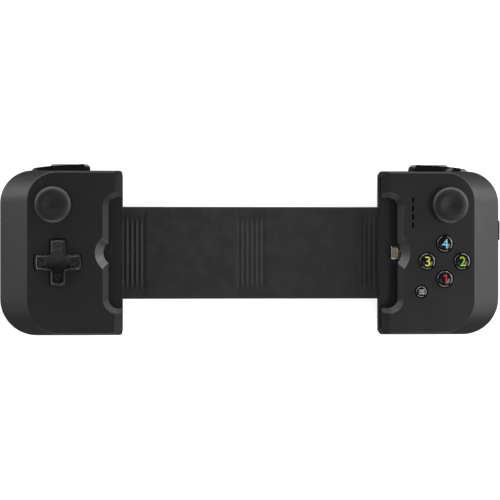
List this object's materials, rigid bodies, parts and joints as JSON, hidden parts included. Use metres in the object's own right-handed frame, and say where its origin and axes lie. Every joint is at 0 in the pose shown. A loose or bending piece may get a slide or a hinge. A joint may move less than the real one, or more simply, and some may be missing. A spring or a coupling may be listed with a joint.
{
  "type": "mobile game controller",
  "caption": "Two grip pods on a flexible strap clip over the ends of a flat device: thumb sticks, directional pad, face buttons, bumpers and triggers.",
  "frame": {"origin": "bottom centre of the bounding box, on the plane that both backs rest on", "axes": "+X towards the pod with the face buttons, +Y towards the shoulder buttons, +Z out of the front faces"},
  "size_m": [0.2612, 0.0894, 0.0355],
  "materials": {
    "shell_plastic": "satin",
    "gloss_black": "gloss",
    "stick_rubber": "matte",
    "soft_black": "matte",
    "strap_rubber": "matte",
    "membrane_rubber": "matte",
    "board_green": "satin",
    "nylon_white": "satin",
    "module_grey": "satin",
    "steel": "satin",
    "dark_steel": "satin",
    "plug_metal": "bright",
    "battery_foil": "satin",
    "clear_plastic": "gloss",
    "ribbon_amber": "satin",
    "inner_black": "matte"
  },
  "bodies": {
    "left_pod": {"left_front_shell": "shell_plastic", "left_rear_shell": "shell_plastic", "left_bay_pad": "soft_black", "left_circuit_board": "board_green", "left_stick_base": "module_grey", "left_shoulder_board": "board_green", "left_bumper_pin": "steel", "left_trigger_pin": "steel", "left_trigger_spring": "steel", "left_screws": "dark_steel", "left_strap_end": "strap_rubber", "left_strap_clamp": "steel", "left_clamp_screws": "steel", "left_ribbon": "ribbon_amber", "dpad_membrane": "membrane_rubber", "battery": "battery_foil"},
    "left_stick_tilt": {"left_stick_yoke": "nylon_white"},
    "left_stick": {"left_stick_shaft": "inner_black", "left_stick_cap": "stick_rubber"},
    "dpad_tilt": {"dpad_rocker": "nylon_white"},
    "dpad_cross": {"dpad": "gloss_black"},
    "left_bumper": {"left_bumper": "gloss_black"},
    "left_trigger": {"left_trigger": "gloss_black"},
    "left_strap": {"left_strap_span": "strap_rubber"},
    "right_strap": {"right_strap_span": "strap_rubber"},
    "right_pod": {"right_front_shell": "shell_plastic", "right_rear_shell": "shell_plastic", "right_bay_pad": "soft_black", "right_circuit_board": "board_green", "right_stick_base": "module_grey", "right_shoulder_board": "board_green", "right_bumper_pin": "steel", "right_trigger_pin": "steel", "right_trigger_spring": "steel", "right_screws": "dark_steel", "right_strap_end": "strap_rubber", "right_strap_clamp": "steel", "right_clamp_screws": "steel", "right_ribbon": "ribbon_amber", "button_membrane": "membrane_rubber", "light_guide": "clear_plastic", "charge_port": "steel", "port_bezel": "shell_plastic", "headphone_jack": "inner_black", "device_plug": "plug_metal", "plug_carrier": "inner_black"},
    "right_stick_tilt": {"right_stick_yoke": "nylon_white"},
    "right_stick": {"right_stick_shaft": "inner_black", "right_stick_cap": "stick_rubber"},
    "north_button": {"north_button": "gloss_black"},
    "east_button": {"east_button": "gloss_black"},
    "south_button": {"south_button": "gloss_black"},
    "west_button": {"west_button": "gloss_black"},
    "menu_button": {"menu_button": "gloss_black"},
    "right_bumper": {"right_bumper": "gloss_black"},
    "right_trigger": {"right_trigger": "gloss_black"}
  },
  "joints": [
    {"name": "left_strap_flex", "type": "hinge", "parent": "left_pod", "child": "left_strap", "pos_m": [-0.06135, -0.00187, 0.0143], "axis": [0, -1, 0], "range_deg": [-15, 60], "stiffness_Nm_per_rad": 0.12},
    {"name": "middle_strap_flex", "type": "hinge", "parent": "left_strap", "child": "right_strap", "pos_m": [-0.00035, -0.00187, 0.0143], "axis": [0, -1, 0], "range_deg": [-15, 60], "stiffness_Nm_per_rad": 0.12},
    {"name": "right_strap_flex", "type": "hinge", "parent": "right_strap", "child": "right_pod", "pos_m": [0.06065, -0.00187, 0.0143], "axis": [0, -1, 0], "range_deg": [-15, 60], "stiffness_Nm_per_rad": 0.12},
    {"name": "left_stick_up_down", "type": "hinge", "parent": "left_pod", "child": "left_stick_tilt", "pos_m": [-0.10215, 0.02262, 0.0245], "axis": [-1, 0, 0], "range_deg": [-13, 13], "stiffness_Nm_per_rad": 0.03},
    {"name": "left_stick_left_right", "type": "hinge", "parent": "left_stick_tilt", "child": "left_stick", "pos_m": [-0.10215, 0.02262, 0.0245], "axis": [0, 1, 0], "range_deg": [-13, 13], "stiffness_Nm_per_rad": 0.03},
    {"name": "left_bumper_press", "type": "hinge", "parent": "left_pod", "child": "left_bumper", "pos_m": [-0.11295, 0.03633, 0.0121], "axis": [0, 0, -1], "range_deg": [0, 2], "stiffness_Nm_per_rad": 1.4},
    {"name": "left_trigger_pull", "type": "hinge", "parent": "left_pod", "child": "left_trigger", "pos_m": [-0.10655, 0.03492, 0.005], "axis": [0, 0, -1], "range_deg": [0, 8], "stiffness_Nm_per_rad": 0.17, "deforming": ["left_trigger_spring"]},
    {"name": "right_stick_up_down", "type": "hinge", "parent": "right_pod", "child": "right_stick_tilt", "pos_m": [0.10145, 0.02262, 0.0245], "axis": [-1, 0, 0], "range_deg": [-13, 13], "stiffness_Nm_per_rad": 0.03},
    {"name": "right_stick_left_right", "type": "hinge", "parent": "right_stick_tilt", "child": "right_stick", "pos_m": [0.10145, 0.02262, 0.0245], "axis": [0, 1, 0], "range_deg": [-13, 13], "stiffness_Nm_per_rad": 0.03},
    {"name": "right_bumper_press", "type": "hinge", "parent": "right_pod", "child": "right_bumper", "pos_m": [0.11225, 0.03633, 0.0121], "axis": [0, 0, 1], "range_deg": [0, 2], "stiffness_Nm_per_rad": 1.4},
    {"name": "right_trigger_pull", "type": "hinge", "parent": "right_pod", "child": "right_trigger", "pos_m": [0.10585, 0.03492, 0.005], "axis": [0, 0, 1], "range_deg": [0, 8], "stiffness_Nm_per_rad": 0.17, "deforming": ["right_trigger_spring"]},
    {"name": "dpad_up_down", "type": "hinge", "parent": "left_pod", "child": "dpad_tilt", "pos_m": [-0.09975, -0.00668, 0.0244], "axis": [-1, 0, 0], "range_deg": [-4, 4], "stiffness_Nm_per_rad": 0.15},
    {"name": "dpad_left_right", "type": "hinge", "parent": "dpad_tilt", "child": "dpad_cross", "pos_m": [-0.09975, -0.00668, 0.0244], "axis": [0, 1, 0], "range_deg": [-4, 4], "stiffness_Nm_per_rad": 0.15},
    {"name": "north_button_press", "type": "slide", "parent": "right_pod", "child": "north_button", "axis": [0, 0, -1], "range_m": [0, 0.0012], "stiffness_N_per_m": 550},
    {"name": "east_button_press", "type": "slide", "parent": "right_pod", "child": "east_button", "axis": [0, 0, -1], "range_m": [0, 0.0012], "stiffness_N_per_m": 550},
    {"name": "south_button_press", "type": "slide", "parent": "right_pod", "child": "south_button", "axis": [0, 0, -1], "range_m": [0, 0.0012], "stiffness_N_per_m": 550},
    {"name": "west_button_press", "type": "slide", "parent": "right_pod", "child": "west_button", "axis": [0, 0, -1], "range_m": [0, 0.0012], "stiffness_N_per_m": 550},
    {"name": "menu_button_press", "type": "slide", "parent": "right_pod", "child": "menu_button", "axis": [0, 0, -1], "range_m": [0, 0.0012], "stiffness_N_per_m": 550}
  ]
}
